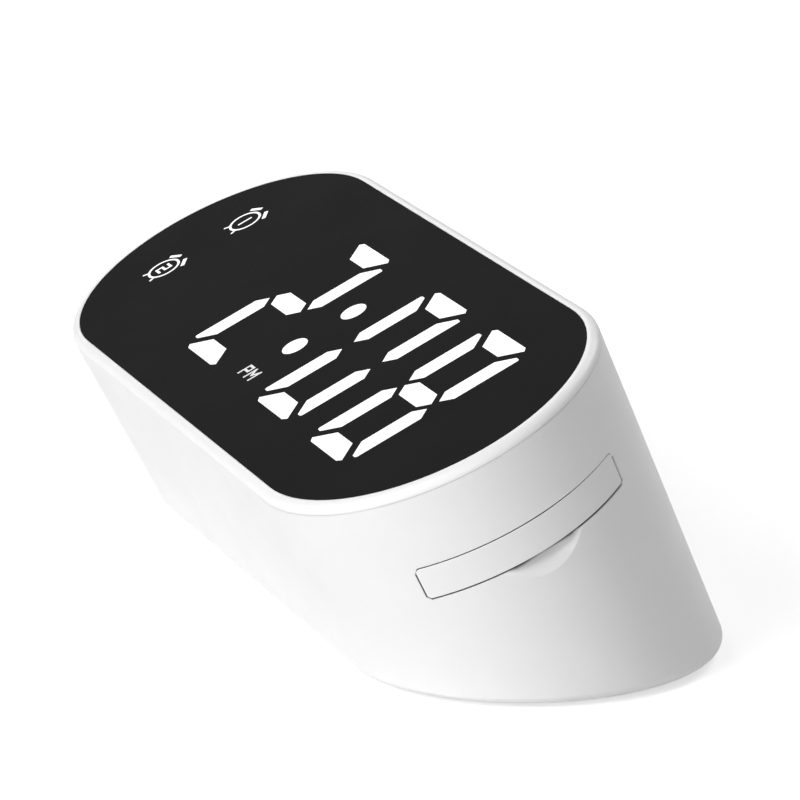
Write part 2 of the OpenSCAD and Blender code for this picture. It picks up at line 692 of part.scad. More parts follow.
module button(i) {
    color([0.92, 0.92, 0.92]) face() on_back(button_x(i), -button_drop) {
        root = wall + flange_gap + flange_t / 2;
        translate([0, 0, -root]) cylinder(r = button_r, h = root + button_proud - cap_edge);
        translate([0, 0, button_proud - cap_edge]) cylinder(r1 = button_r, r2 = button_r - cap_edge, h = cap_edge);
        translate([0, 0, -wall - flange_gap - flange_t]) cylinder(r = button_r + flange_out, h = flange_t);
        translate([0, 0, -stem_end]) cylinder(r = stem_r, h = stem_len + flange_t);
    }
}
module set_button() { button(0); }
module up_button() { button(1); }
module down_button() { button(2); }
module alarm_button() { button(3); }

module tact_switches() {
    color([0.15, 0.15, 0.15]) face() for (i = [0:3]) on_back(button_x(i), -button_drop)
        translate([0, 0, -key_board_in]) {
            translate([-switch_size.x / 2, -switch_size.y / 2, 0]) cube(switch_size);
            cylinder(r = plunger_r, h = switch_size.z + plunger_h);
        }
}

module key_board() {
    long = key_screw_x + key_board_end;
    color([0.05, 0.3, 0.15]) face() on_back(0, -button_drop) difference() {
        translate([-long, -key_board_w / 2, -key_board_in - board_t]) cube([2 * long, key_board_w, board_t]);
        for (s = [-1, 1]) translate([s * key_screw_x, 0, -key_board_in - board_t - 1])
            cylinder(r = screw_r + screw_pass, h = board_t + 2);
    }
}

module key_board_screws() {
    color("silver") face() for (s = [-1, 1]) on_back(s * key_screw_x, -button_drop)
        translate([0, 0, -key_board_in - board_t]) screw(board_t + bite);
}

// ---- Base plate and what it carries ----
foot_out = 4;          // feet beyond the straight part
foot_x = straight_len / 2 + foot_out;
foot_dy = 17;
foot_sink = 1.0;
foot_edge = 0.3;       // bevel of a foot
function foot_places() = [for (sx = [-1, 1], sy = [-1, 1]) [sx * foot_x, axis_y(0) + sy * foot_dy]];
speaker_x = -24;
speaker_r = 14;
speaker_fence = [1.6, 2.4];              // wall and height of the ring round the speaker
hole_r = 0.9;                            // holes of the speaker's grille
hole_step = 4.2;                         // between its rings
door_x = 27;
door_rest = plate_low + 0.2;             // underside of the door, a little inside the plate
door_t = 1.4;
ring_r = door_r - door_t;                // the door's raised ring
lug_r = door_r - 0.2;                    // the disc hides the notches for the lugs
lug_play = 2;                            // degrees that a notch is wider each side
lug_lift = 0.1;                          // lugs over the plate's inner face
coin_slot = [14, 1.8, 0.8];
cell_lip = [1.2, 0.5];                   // step round the cell's top
lug_half = 12;                           // half the angle of a bayonet lug
lug_angles = [25, 205];
door_turn = 60;
door_ring_h = 3.4;
cell_r = 10;
cell_h = 3.2;

// An arched block between two radii, round its middle angle
module arch(inner, outer, half, h) {
    rotate([0, 0, -half]) rotate_extrude(angle = 2 * half) translate([inner, 0]) square([outer - inner, h]);
}

board_low = plate_top + board_rise;
board_out = 3;                           // main board beyond the straight part
board_x = straight_len / 2 + board_out;
board_back = 1;                          // main board behind the case's middle line
board_y = axis_y(board_low) + board_back;
board_dy = 17;
stand_in = 4;                            // its screws inside its edges
stand_x = board_x - stand_in;
stand_dy = board_dy - stand_in;
function stand_places() = [for (sx = [-1, 1], sy = [-1, 1]) [sx * stand_x, board_y + sy * stand_dy]];

module base_plate() {
    color("white") difference() {
        union() {
            intersection() {
                face() pill() full_profile(-parting, wall + clear);
                translate([-far, -far, plate_low]) cube([2 * far, 2 * far, base_t]);
            }
            translate([speaker_x, axis_y(0), plate_top]) difference() {
                cylinder(r = speaker_r + speaker_fence.x, h = speaker_fence.y);
                translate([0, 0, -1]) cylinder(r = speaker_r + seat, h = speaker_fence.y + 2);
            }
            for (p = stand_places()) translate([p.x, p.y, plate_top]) cylinder(r = board_post_r, h = board_rise);
        }
        for (p = boss_places()) translate([p.x, p.y, 0]) {
            cylinder(r = base_screw_r + 1.5 * screw_pass, h = plate_top + 1);
            cylinder(r = base_head.x + screw_pass, h = plate_low + head_in);
        }
        for (p = foot_places()) translate([p.x, p.y, 0]) cylinder(r = foot_r + seat, h = plate_low + foot_sink);
        for (p = stand_places()) translate([p.x, p.y, board_low - bite - 2]) cylinder(r = screw_r + screw_pilot, h = bite + 3);
        translate([door_x, axis_y(0), 0]) {
            cylinder(r = door_r + clear, h = door_rest + door_t + seat);
            cylinder(r = ring_r + clear, h = plate_top + 1);
            for (a = lug_angles) rotate([0, 0, a + door_turn])
                arch(ring_r - 1, lug_r + clear, lug_half + lug_play, plate_top + 1);
        }
        translate([speaker_x, axis_y(0), 0]) {
            cylinder(r = hole_r, h = plate_top + 1);
            for (n = [1, 2], i = [0:6 * n - 1]) rotate([0, 0, i * 60 / n])
                translate([n * hole_step, 0, 0]) cylinder(r = hole_r, h = plate_top + 1);
        }
    }
}

module base_screws() {
    color("silver") for (p = boss_places()) translate([p.x, p.y, plate_low + head_in])
        screw(base_t - head_in + base_bite, base_screw_r, base_head.x, base_head.y);
}

module rubber_feet() {
    color([0.2, 0.2, 0.2]) for (p = foot_places()) translate([p.x, p.y, 0]) {
        cylinder(r1 = foot_r - foot_edge, r2 = foot_r, h = foot_edge);
        translate([0, 0, foot_edge]) cylinder(r = foot_r, h = plate_low + foot_sink - foot_edge);
    }
}

module battery_door() {
    ring_top = door_rest + door_t + door_ring_h;
    color("white") translate([door_x, axis_y(0), 0]) difference() {
        union() {
            translate([0, 0, door_rest]) cylinder(r = door_r, h = door_t);
            translate([0, 0, door_rest]) cylinder(r = ring_r, h = door_t + door_ring_h);
            // lugs that hold the door over the plate's inner face
            for (a = lug_angles) rotate([0, 0, a]) translate([0, 0, plate_top + lug_lift])
                arch(ring_r - 0.5, lug_r, lug_half, ring_top - plate_top - lug_lift);
        }
        translate([0, 0, door_rest + door_t]) cylinder(r = cell_r + clear, h = door_ring_h + 1);
        translate([-coin_slot.x / 2, -coin_slot.y / 2, door_rest - 1]) cube(coin_slot + [0, 0, 1]);
    }
}

module coin_cell() {
    color("silver") translate([door_x, axis_y(0), door_rest + door_t]) {
        cylinder(r = cell_r, h = cell_h - cell_lip.y);
        translate([0, 0, cell_h - cell_lip.y]) cylinder(r = cell_r - cell_lip.x, h = cell_lip.y);
    }
}

rim_h = 1.4;                             // speaker's frame, at its edge
rim_in = 2;                              // seat ring of the frame
magnet_r = 9;
magnet_low = 3.6;
speaker_h = 5.8;
cone_h = 2.6;                            // space under the cone
cone_r = 4;
cone_side = 1.9;
cone_edge = 0.9;
module speaker() {
    inner = speaker_r - rim_in;
    color([0.25, 0.25, 0.25]) translate([speaker_x, axis_y(0), plate_top]) rotate_extrude()
        polygon([[speaker_r, 0], [speaker_r, rim_h], [speaker_r - rim_in / 2, rim_h], [magnet_r, magnet_low],
            [magnet_r, speaker_h], [0, speaker_h], [0, cone_h], [cone_r, cone_side], [inner, cone_edge], [inner, 0]]);
}

module main_board() {
    color([0.05, 0.3, 0.15]) difference() {
        translate([-board_x, board_y - board_dy, board_low]) cube([2 * board_x, 2 * board_dy, board_t]);
        for (p = stand_places()) translate([p.x, p.y, board_low - 1]) cylinder(r = screw_r + screw_pass, h = board_t + 2);
    }
}

module main_board_screws() {
    color("silver") for (p = stand_places()) translate([p.x, p.y, board_low + board_t])
        mirror([0, 0, 1]) screw(board_t + bite);
}

chip_x = 8;
chip_size = [10, 10, 1.4];
chip_gap = 0.2;                          // under the chip's body
lead_size = [1.4, 0.4, 0.5];
lead_pitch = 1.1;
module clock_chip() {
    color([0.1, 0.1, 0.1]) translate([chip_x, board_y, board_low + board_t]) {
        translate([-chip_size.x / 2, -chip_size.y / 2, chip_gap]) cube(chip_size);
        for (a = [0:90:270]) rotate([0, 0, a]) for (i = [-3.5:1:3.5])
            translate([chip_size.x / 2 - 0.1, i * lead_pitch - lead_size.y / 2, 0]) cube(lead_size);
    }
}

can_place = [20, 3];
can_r = 1.5;
can_h = 6;
can_gap = 0.4;
can_lead = [0.25, 0.5];
module crystal_can() {
    color("silver") translate([can_place.x, board_y + can_place.y, board_low + board_t]) {
        translate([0, 0, can_gap]) cylinder(r = can_r, h = can_h);
        for (s = [-1, 1]) translate([s * can_r * 0.4, 0, 0]) cylinder(r = can_lead.x, h = can_lead.y, $fn = 16);
    }
}

cap_places = [[32, -6], [40, -6]];
cap_r = 2.5;
cap_h = 6;
module board_capacitors() {
    color([0.2, 0.2, 0.3]) for (c = cap_places) translate([c.x, board_y + c.y, board_low + board_t])
        cylinder(r = cap_r, h = cap_h);
}

// Two spring strips that press on the coin cell from the main board
contact_x = 3.5;                         // from the cell's middle
contact_w = 2.4;
contact_t = 0.3;
contact_len = 4;                         // each leg
contact_gap = 0.2;                       // over the cell
module cell_contacts() {
    t = contact_t;
    drop = board_low - door_rest - door_t - cell_h - contact_gap;
    color([0.8, 0.65, 0.3]) for (s = [-1, 1])
        translate([door_x + s * contact_x - contact_w / 2, axis_y(0), board_low])
            rotate([90, 0, 90]) linear_extrude(contact_w)
                polygon([[-contact_len, -t], [-contact_len, 0], [0, 0], [4 / 3 * t, -t], [4 / 3 * t, -drop + t],
                    [contact_len, -drop + t], [contact_len, -drop], [t / 3, -drop], [t / 3, -t]]);
}

// ---- Ribbon between the two boards ----
ribbon_x = -34;
ribbon_w = 12;
ribbon_t = 0.3;
socket_size = [14, 4, 2.2];
ribbon_lead = 2;       // straight stretch at each of its ends
ribbon_back = 8;       // lower socket behind the main board's middle
ribbon_from = [face_y, face_z] + (display_board_z - board_t - socket_size.z) * [-sin(lean), cos(lean)];
ribbon_to = [board_y + ribbon_back, board_low + board_t + socket_size.z];

module ribbon_sockets() {
    color([0.9, 0.88, 0.8]) {
        face() translate([ribbon_x - socket_size.x / 2, -socket_size.y / 2, display_board_z - board_t - socket_size.z])
            cube(socket_size);
        translate([ribbon_x - socket_size.x / 2, ribbon_to.x - socket_size.y / 2, board_low + board_t])
            cube(socket_size);
    }
}

module display_ribbon() {
    path = [ribbon_from, ribbon_from + ribbon_lead * [sin(lean), -cos(lean)], ribbon_to + [0, ribbon_lead], ribbon_to];
    sides = [for (k = [0:3]) let (a = path[max(k - 1, 0)], b = path[min(k + 1, 3)], t = (b - a) / norm(b - a))
        ribbon_t / 2 * [-t.y, t.x]];
    color([0.85, 0.85, 0.85]) translate([ribbon_x - ribbon_w / 2, 0, 0]) rotate([90, 0, 90])
        linear_extrude(ribbon_w)
            polygon(concat([for (k = [0:3]) path[k] + sides[k]], [for (k = [3:-1:0]) path[k] - sides[k]]));
}

housing();
bezel();
display_lens();
hour_digit();
minute_tens_digit();
minute_ones_digit();
colon_dots();
pm_mark();
alarm_mark_1();
alarm_mark_2();
diffuser_sheet();
reflector_block();
display_board();
led_chips();
display_screws();
main_board();
clock_chip();
crystal_can();
board_capacitors();
main_board_screws();
cell_contacts();
ribbon_sockets();
display_ribbon();
speaker();
usb_board();
usb_socket();
usb_board_screw();
hinge_pin();
port_flap();
key_board();
tact_switches();
key_board_screws();
set_button();
up_button();
down_button();
alarm_button();
base_plate();
base_screws();
rubber_feet();
battery_door();
coin_cell();
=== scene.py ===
# Digital desk alarm clock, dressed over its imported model.
# Shapes are drawn in millimetres, most of them in the display's own frame, and put in place by a matrix.
import json
import math
import bmesh
import bpy
from mathutils import Matrix, Vector


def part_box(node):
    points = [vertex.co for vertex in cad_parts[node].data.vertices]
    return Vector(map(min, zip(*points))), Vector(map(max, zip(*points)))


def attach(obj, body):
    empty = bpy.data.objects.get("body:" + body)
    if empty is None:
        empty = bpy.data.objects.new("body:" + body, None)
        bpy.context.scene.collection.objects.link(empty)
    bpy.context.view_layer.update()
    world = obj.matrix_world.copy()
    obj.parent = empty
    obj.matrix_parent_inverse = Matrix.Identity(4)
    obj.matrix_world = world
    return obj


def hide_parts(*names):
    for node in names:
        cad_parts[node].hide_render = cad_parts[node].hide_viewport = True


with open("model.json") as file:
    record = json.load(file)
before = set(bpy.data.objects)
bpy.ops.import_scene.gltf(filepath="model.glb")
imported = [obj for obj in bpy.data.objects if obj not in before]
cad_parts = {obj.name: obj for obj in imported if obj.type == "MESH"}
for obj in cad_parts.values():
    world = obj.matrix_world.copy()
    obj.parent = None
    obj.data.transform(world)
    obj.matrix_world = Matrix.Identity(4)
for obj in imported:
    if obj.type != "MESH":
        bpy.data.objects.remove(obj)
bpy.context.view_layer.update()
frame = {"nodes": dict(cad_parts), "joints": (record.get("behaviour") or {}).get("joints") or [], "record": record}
nodes = frame["nodes"]
joints = {j["name"]: j for j in frame["joints"]}
print("frame loaded:", len(nodes), "nodes")

# Camera, placed before the making
view = {
    "from": (0.75894, -0.29513, 0.26664),
    "at": (0.00002, 0.00204, 0.03052),
    "lens": 225.13,
    "sensor": 36,
    "nearest": 0.01,
}


def aimed(origin, target):
    # turns -Z towards the target and keeps +Y up
    turn = (Vector(target) - Vector(origin)).to_track_quat("-Z", "Y")
    return Matrix.Translation(origin) @ turn.to_matrix().to_4x4()


cameraData = bpy.data.cameras.new("portraitLens")
cameraData.lens = view["lens"]
cameraData.sensor_width = view["sensor"]
cameraData.clip_start = view["nearest"]
camera = bpy.data.objects.new("portraitCamera", cameraData)
camera.matrix_world = aimed(view["from"], view["at"])
bpy.context.scene.collection.objects.link(camera)
bpy.context.scene.camera = camera
bpy.context.scene.view_settings.view_transform = "Standard"

# Case sizes, and the place of the display in the frame
case = {
    "straight": 93.4,       # straight middle of the pill outline
    "rimRadius": 30.5,
    "draft": 2.15,          # degrees, narrowing towards the base
    "parting": 1.9,         # top of the housing, below the display face
    "footDrop": 0.6,        # the housing stands this high, on its feet
    "lensMiddle": 0.7,      # middle of the lens plate, below the display face
    "baseRound": 2.0,       # rounded edge round the base
    "roundLimit": 2.9,      # most that this rounding takes of a wall
    "baseLift": 0.03,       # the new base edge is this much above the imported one
    "rimRound": 1.7,        # rounded rim of the bezel
    "rimWidth": 5.0,        # reach of the bezel's new skin inwards
    "rimDepth": 9.0,        # and down
    "skin": 0.12,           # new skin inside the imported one, which trims that one's facets away
    "spare": 1.0,           # the new body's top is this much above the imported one's
    "slopeSpan": 10.0,      # the walls' direction is taken over this height
}
hingeAxis = Vector(joints["flap_hinge"]["axis"])
lean = math.atan2(-hingeAxis.z, -hingeAxis.y)
lensLow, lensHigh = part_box("display_lens")
faceUp = Vector((0, -math.sin(lean), math.cos(lean)))
faceAt = (lensLow + lensHigh) / 2 + faceUp * case["lensMiddle"] / 1000
onFace = Matrix.Translation(faceAt) @ Matrix.Rotation(lean, 4, "X") @ Matrix.Scale(0.001, 4)
onGround = Matrix.Scale(0.001, 4)
draftSlope = math.tan(math.radians(case["draft"]))
print("display leans", round(math.degrees(lean), 2), "degrees")


def wallRadius(z):
    return case["rimRadius"] + z * draftSlope


# Materials. This turns an sRGB hex colour to linear
def hexColour(text):
    parts = [int(text[i:i + 2], 16) / 255 for i in (1, 3, 5)]
    return [c / 12.92 if c <= 0.04045 else ((c + 0.055) / 1.055) ** 2.4 for c in parts] + [1.0]


def addNode(tree, kind, settings=None, links=None):
    node = tree.nodes.new(kind)
    for key, value in (settings or {}).items():
        if isinstance(key, str) and hasattr(node, key):
            setattr(node, key, value)
        else:
            node.inputs[key].default_value = value
    for key, source in (links or {}).items():
        tree.links.new(source, node.inputs[key])
    return node


def startMaterial(name, shader):
    material = bpy.data.materials.new(name)
    material.use_nodes = True
    tree = material.node_tree
    tree.nodes.clear()
    where = addNode(tree, "ShaderNodeTexCoord").outputs["Object"]
    bsdf = addNode(tree, "ShaderNodeBsdfPrincipled", shader)
    addNode(tree, "ShaderNodeOutputMaterial", None, {"Surface": bsdf.outputs[0]})
    return material, tree, where, bsdf


# Painted shade: ambient occlusion darkens the colour in the narrow gaps round the flap, where shade falls. The
# parting line above them and the edge by the table are left out
paintedGapShade = {
    "reach": 0.0012,            # widest gap that gets the painted shade, in metres
    "full": 0.4,                # openness of a gap that is fully shaded
    "unshaded": 0.65,              # and of one left unshaded
    "samples": 12,
    "band": (-13.5, -25.0),     # heights on the display's own scale, in millimetres, between which the shade is painted
}


# 1 between two heights on the display's scale, 0 elsewhere
def betweenHeights(tree, where, top, low):
    across = addNode(tree, "ShaderNodeVectorMath", {"operation": "SUBTRACT", 1: tuple(faceAt)}, {0: where})
    height = addNode(tree, "ShaderNodeVectorMath", {"operation": "DOT_PRODUCT", 1: tuple(faceUp)},
                     {0: across.outputs[0]}).outputs["Value"]
    middle = (top + low) / 2000
    half = (top - low) / 2000
    return addNode(tree, "ShaderNodeMath", {"operation": "COMPARE", 1: middle, 2: half},
                   {0: height}).outputs[0]


# The colour darkened by painted shade where a gap is narrow enough
def gapShaded(tree, where, colour, seamShade):
    openness = addNode(tree, "ShaderNodeAmbientOcclusion",
                       {"samples": paintedGapShade["samples"], "Distance": paintedGapShade["reach"]}).outputs["AO"]
    swept = addNode(tree, "ShaderNodeMapRange", {"From Min": paintedGapShade["full"], "From Max": paintedGapShade["unshaded"]},
                    {"Value": openness})
    outside = addNode(tree, "ShaderNodeMath", {"operation": "SUBTRACT", 0: 1.0},
                      {1: betweenHeights(tree, where, *paintedGapShade["band"])})
    unshaded = addNode(tree, "ShaderNodeMath", {"operation": "MAXIMUM"},
                    {0: swept.outputs[0], 1: outside.outputs[0]})
    return addNode(tree, "ShaderNodeMix", {"data_type": "RGBA", 6: hexColour(seamShade)},
                   {0: unshaded.outputs[0], 7: colour}).outputs[2]


pattern = {
    "cloudDetail": 3.0,
    "cloudLow": 0.3,            # for the gloss, the clouds run from here
    "cloudHigh": 0.7,           # to here
    "grainDetail": 2.0,
    "grainRoughness": 0.6,
}


# Cloudy colour between two tones, a fine grain as bump, and a gloss that drifts a little.
# mottle and grain are sizes in millimetres, bump is the grain's height, seamShade is the colour of the painted
# shade in narrow gaps
def surface(name, tones, mottle, grain, bump, rough, shader=None, stretch=(1, 1, 1), seamShade=None):
    material, tree, where, bsdf = startMaterial(name, shader)
    place = addNode(tree, "ShaderNodeMapping", {"Scale": stretch}, {"Vector": where}).outputs[0]
    cloud = addNode(tree, "ShaderNodeTexNoise", {"Scale": 1000 / mottle, "Detail": pattern["cloudDetail"]},
                    {"Vector": place})
    first, second = (hexColour(tone) for tone in tones)
    colour = addNode(tree, "ShaderNodeMix", {"data_type": "RGBA", 6: first, 7: second},
                     {0: cloud.outputs[0]}).outputs[2]
    # painted shade in the narrow gaps, where a shade colour is given
    if seamShade:
        colour = gapShaded(tree, where, colour, seamShade)
    tree.links.new(colour, bsdf.inputs["Base Color"])
    fine = addNode(tree, "ShaderNodeTexNoise", {"Scale": 1000 / grain, "Detail": pattern["grainDetail"],
                                                "Roughness": pattern["grainRoughness"]}, {"Vector": place})
    relief = addNode(tree, "ShaderNodeBump", {"Strength": 1.0, "Distance": bump / 1000},
                     {"Height": fine.outputs[0]})
    tree.links.new(relief.outputs[0], bsdf.inputs["Normal"])
    drift = {"From Min": pattern["cloudLow"], "From Max": pattern["cloudHigh"],
             "To Min": rough[0], "To Max": rough[1]}
    gloss = addNode(tree, "ShaderNodeMapRange", drift, {"Value": cloud.outputs[0]})
    tree.links.new(gloss.outputs[0], bsdf.inputs["Roughness"])
    return material


finishes = {
    # white ABS from a spark-eroded mould: satin, with a very fine even grain, and painted shade in the gaps round
    # the flap
    "case_plastic": surface("satinAbs", ("#F1F1F1", "#EDEDED"), 9, 0.4, 0.0012, (0.40, 0.48),
                            {"IOR": 1.54}, seamShade="#2E2E2E"),
    # smoked black acrylic, polished and hard-coated against glare: even black with a weak reflection
    "lens_acrylic": surface("smokedAcrylic", ("#1D1D1D", "#1B1B1B"), 14, 1.5, 0.0002, (0.24, 0.3),
                            {"IOR": 1.49, "Specular IOR Level": 0.002}),
    # clear acrylic light guide, frosted on its face, lit from behind
    "lit_guide": surface("litAcrylic", ("#8C8C8C", "#7E7E7E"), 3, 0.5, 0.001, (0.3, 0.36),
                         {"IOR": 1.49, "Emission Color": (1, 1, 1, 1), "Emission Strength": 0.78}),
    # milky polyester film
    "diffuser_film": surface("milkyFilm", ("#E9E9EC", "#DCDCE0"), 5, 0.2, 0.001, (0.5, 0.6),
                             {"IOR": 1.58}),
    # white polycarbonate with titanium dioxide, moulded, matt inside
    "reflector_plastic": surface("whitePolycarbonate", ("#ECECEA", "#E2E2E0"), 6, 0.3, 0.002,
                                 (0.5, 0.58), {"IOR": 1.58}),
    # glass-fibre board under green solder mask, streaked faintly by the tracks below
    "circuit_board": surface("solderMask", ("#1B5A34", "#134526"), 1.6, 0.35, 0.01, (0.25, 0.4),
                             {"IOR": 1.5}, (1, 4, 1)),
    # white LED body with yellow phosphor
    "led_package": surface("phosphorLed", ("#EFE3A8", "#F4F1E2"), 1.2, 0.1, 0.001, (0.35, 0.45),
                           {"IOR": 1.5}),
    # steel with bright zinc plating: faint cloudy spangle
    "zinc_steel": surface("zincPlatedSteel", ("#B9BCC0", "#9DA1A6"), 0.8, 0.15, 0.001, (0.28, 0.42),
                          {"Metallic": 1.0}),
    # black moulding epoxy, slightly rough
    "chip_epoxy": surface("mouldedEpoxy", ("#1C1C1E", "#242426"), 1.5, 0.1, 0.002, (0.5, 0.62),
                          {"IOR": 1.55}),
    # drawn nickel silver can, with lines along its length
    "can_steel": surface("drawnCan", ("#C5C6C8", "#AEB0B3"), 0.6, 0.1, 0.001, (0.22, 0.34),
                         {"Metallic": 1.0}, (4, 4, 0.5)),
    # shrunk vinyl sleeve, glossy with slight ripple
    "capacitor_sleeve": surface("vinylSleeve", ("#15182B", "#1D2036"), 2, 0.8, 0.01, (0.2, 0.3),
                                {"IOR": 1.53}),
    # phosphor bronze strip, rolled
    "spring_brass": surface("phosphorBronze", ("#C79B5B", "#B0854A"), 1.5, 0.1, 0.001, (0.25, 0.38),
                            {"Metallic": 1.0}, (1, 6, 1)),
    # natural nylon, slightly yellow
    "socket_nylon": surface("naturalNylon", ("#E6E0CC", "#DDD6BF"), 3, 0.3, 0.002, (0.45, 0.55),
                            {"IOR": 1.53}),
    # flat cable: tinned strips about a millimetre apart under clear film
    "ribbon_film": surface("flatCable", ("#D9DBDE", "#AEB3B8"), 1, 0.5, 0.01, (0.3, 0.4), {"IOR": 1.6},
                           (1, 0.05, 0.05)),
    # black paper cone in a blackened frame
    "speaker_parts": surface("paperCone", ("#1E1E1F", "#2A2A2B"), 0.8, 0.2, 0.01, (0.6, 0.8), {"IOR": 1.5}),
    # deep-drawn steel shell, bright nickel
    "plated_shell": surface("nickelPlatedShell", ("#CFCDC8", "#BAB7B1"), 1.2, 0.15, 0.0008, (0.18, 0.3),
                            {"Metallic": 1.0}),
    # black glass-filled nylon
    "switch_plastic": surface("glassFilledNylon", ("#1A1A1B", "#222223"), 1, 0.15, 0.003, (0.4, 0.55),
                              {"IOR": 1.53}),
    # the caps: the same ABS, a shade greyer
    "button_plastic": surface("satinAbsCaps", ("#EAEAE9", "#E4E4E3"), 4, 0.35, 0.0015, (0.42, 0.5),
                              {"IOR": 1.54}),
    # soft silicone pads, matt
    "foot_rubber": surface("siliconeRubber", ("#2B2B2C", "#353536"), 2, 0.25, 0.004, (0.7, 0.85),
                           {"IOR": 1.41}),
    # nickel-plated steel cell, lightly brushed
    "cell_steel": surface("nickelPlatedCell", ("#D2D1CD", "#BEBDB8"), 2.5, 0.12, 0.001, (0.24, 0.36),
                          {"Metallic": 1.0}, (1, 8, 1)),
}
# the same light guide over a dimmer LED, under the afternoon mark
dimGuide = surface("dimLitAcrylic", ("#8C8C8C", "#7E7E7E"), 3, 0.5, 0.001, (0.3, 0.36),
                   {"IOR": 1.49, "Emission Color": (1, 1, 1, 1), "Emission Strength": 0.42})
# thin gold over nickel, rubbed along its length by the plug
giltContact = surface("giltContact", ("#D9B45A", "#C79F48"), 0.5, 0.08, 0.0008, (0.2, 0.34),
                      {"Metallic": 1.0}, (0.4, 2, 2))
for part in frame["record"]["subparts"]:
    for materialSlot in nodes[part["node"]].material_slots:
        materialSlot.material = dimGuide if part["node"] == "pm_mark" else finishes[part["material_slot"]]
print("materials made:", len(finishes))


# Mesh helpers. This one makes a finished piece of a mesh
def newPiece(name, mesh, slot, body="root", stands=(), material=None):
    piece = bpy.data.objects.new(name, mesh)
    bpy.context.scene.collection.objects.link(piece)
    piece.data.materials.clear()
    piece.data.materials.append(material or finishes[slot])
    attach(piece, body)
    if stands:
        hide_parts(*stands)
    return piece


def finishMesh(work):
    mesh = bpy.data.meshes.new("work")
    work.to_mesh(mesh)
    work.free()
    return mesh


# Closed mesh from equal rings of points, joined in order and capped at both ends
def ringsToMesh(rings, place):
    work = bmesh.new()
    rows = [[work.verts.new(point) for point in ring] for ring in rings]
    count = len(rows[0])
    for low, high in zip(rows, rows[1:]):
        for i in range(count):
            j = (i + 1) % count
            work.faces.new((low[i], low[j], high[j], high[i]))
    work.faces.new(rows[0][::-1])
    work.faces.new(rows[-1])
    bmesh.ops.recalc_face_normals(work, faces=work.faces)
    bmesh.ops.transform(work, matrix=place, verts=work.verts)
    return finishMesh(work)


weldDistance = 1e-7     # metres, for the loose triangles of a CAD node


# Copy of a CAD node's mesh, with its triangles joined
def nodeMesh(name):
    work = bmesh.new()
    work.from_mesh(nodes[name].data)
    bmesh.ops.remove_doubles(work, verts=work.verts, dist=weldDistance)
    return finishMesh(work)


# Low and high corners of each loose part of a CAD node, measured in a place of its own
def looseBoxes(name, place):
    mesh = nodeMesh(name)
    back = place.inverted()
    links = [[] for vertex in mesh.vertices]
    for a, b in mesh.edge_keys:
        links[a].append(b)
        links[b].append(a)
    seen = set()
    boxes = []
    for first in range(len(links)):
        if first in seen:
            continue
        seen.add(first)
        waiting = [first]
        points = []
        while waiting:
            index = waiting.pop()
            points.append(back @ mesh.vertices[index].co)
            fresh = [other for other in links[index] if other not in seen]
            seen.update(fresh)
            waiting.extend(fresh)
        boxes.append([Vector([pick(axis) for axis in zip(*points)]) for pick in (min, max)])
    return boxes


# Round body from points of radius and height along its own Z
def latheMesh(profile, place, steps=72):
    rings = []
    for radius, height in profile:
        turns = [2 * math.pi * i / steps for i in range(steps)]
        rings.append([Vector((radius * math.cos(a), radius * math.sin(a), height)) for a in turns])
    return ringsToMesh(rings, place)


# One boolean step on plain meshes
def combine(mesh, other, operation):
    holder = bpy.data.objects.new("holder", mesh)
    tool = bpy.data.objects.new("tool", other)
    for thing in (holder, tool):
        bpy.context.scene.collection.objects.link(thing)
    step = holder.modifiers.new("step", "BOOLEAN")
    step.operation = operation
    step.object = tool
    step.solver = "MANIFOLD"
    ready = holder.evaluated_get(bpy.context.evaluated_depsgraph_get())
    result = bpy.data.meshes.new_from_object(ready)
    bpy.data.objects.remove(holder)
    bpy.data.objects.remove(tool)
    return result


def smooth(mesh, angle=30):
    mesh.polygons.foreach_set("use_smooth", [True] * len(mesh.polygons))
    mesh.set_sharp_from_angle(angle=math.radians(angle))


# Case shell and bezel. Points round the pill outline, each with the middle of its end and its direction
def pillOutline(roundSteps=180, straightSteps=10):
    half = case["straight"] / 2
    points = []
    for end in (1, -1):
        start = -90 * end
        for i in range(roundSteps + 1):
            angle = math.radians(start + 180 * i / roundSteps)
            points.append((end * half, math.cos(angle), math.sin(angle)))
        for i in range(1, straightSteps):
            share = i / straightSteps
            points.append((end * half * (1 - 2 * share), 0.0, float(end)))
    return points


def groundHeight(point):
    return (onFace @ Vector(point)).z * 1000


# A point on the smooth wall, under a point of the pill outline
def onWall(middle, cosine, sine, z, inset=0.0):
    reach = wallRadius(z) - case["skin"] - inset
    return Vector((middle + reach * cosine, reach * sine, z))


# Circular blend from one leg of a corner to the other
def roundedCorner(start, corner, end, opening, steps):
    weight = math.sin(opening / 2)
    points = []
    for i in range(steps + 1):
        t = i / steps
        parts = ((1 - t) ** 2, 2 * weight * t * (1 - t), t ** 2)
        points.append((parts[0] * start + parts[1] * corner + parts[2] * end) / sum(parts))
    return points


# A filled body with the case's outer walls and a rounded edge round the base
def caseBody(wallSteps=8, roundSteps=12):
    floor = case["footDrop"] + case["baseLift"]
    tall = Vector((0, math.sin(lean), math.cos(lean)))       # world up, in the display's frame
    columns = []
    for middle, cosine, sine in pillOutline():
        top = onWall(middle, cosine, sine, case["spare"] - case["parting"])
        below = onWall(middle, cosine, sine, -case["slopeSpan"])
        ruling = (below - onWall(middle, cosine, sine, 0)).normalized()
        corner = top + ruling * (groundHeight(top) - floor) / -(ruling.dot(tall))
        outward = Vector((cosine, sine, -draftSlope)).normalized()
        inward = -(outward - tall * outward.dot(tall)).normalized()
        opening = math.acos(max(-1, min(1, (-ruling).dot(inward))))
        run = min(case["baseRound"] / math.tan(opening / 2), case["roundLimit"])
        start = corner - ruling * run
        column = [top.lerp(start, i / wallSteps) for i in range(wallSteps)]
        columns.append(column + roundedCorner(start, corner, corner + inward * run, opening, roundSteps))
    return ringsToMesh(list(zip(*columns)), onFace)


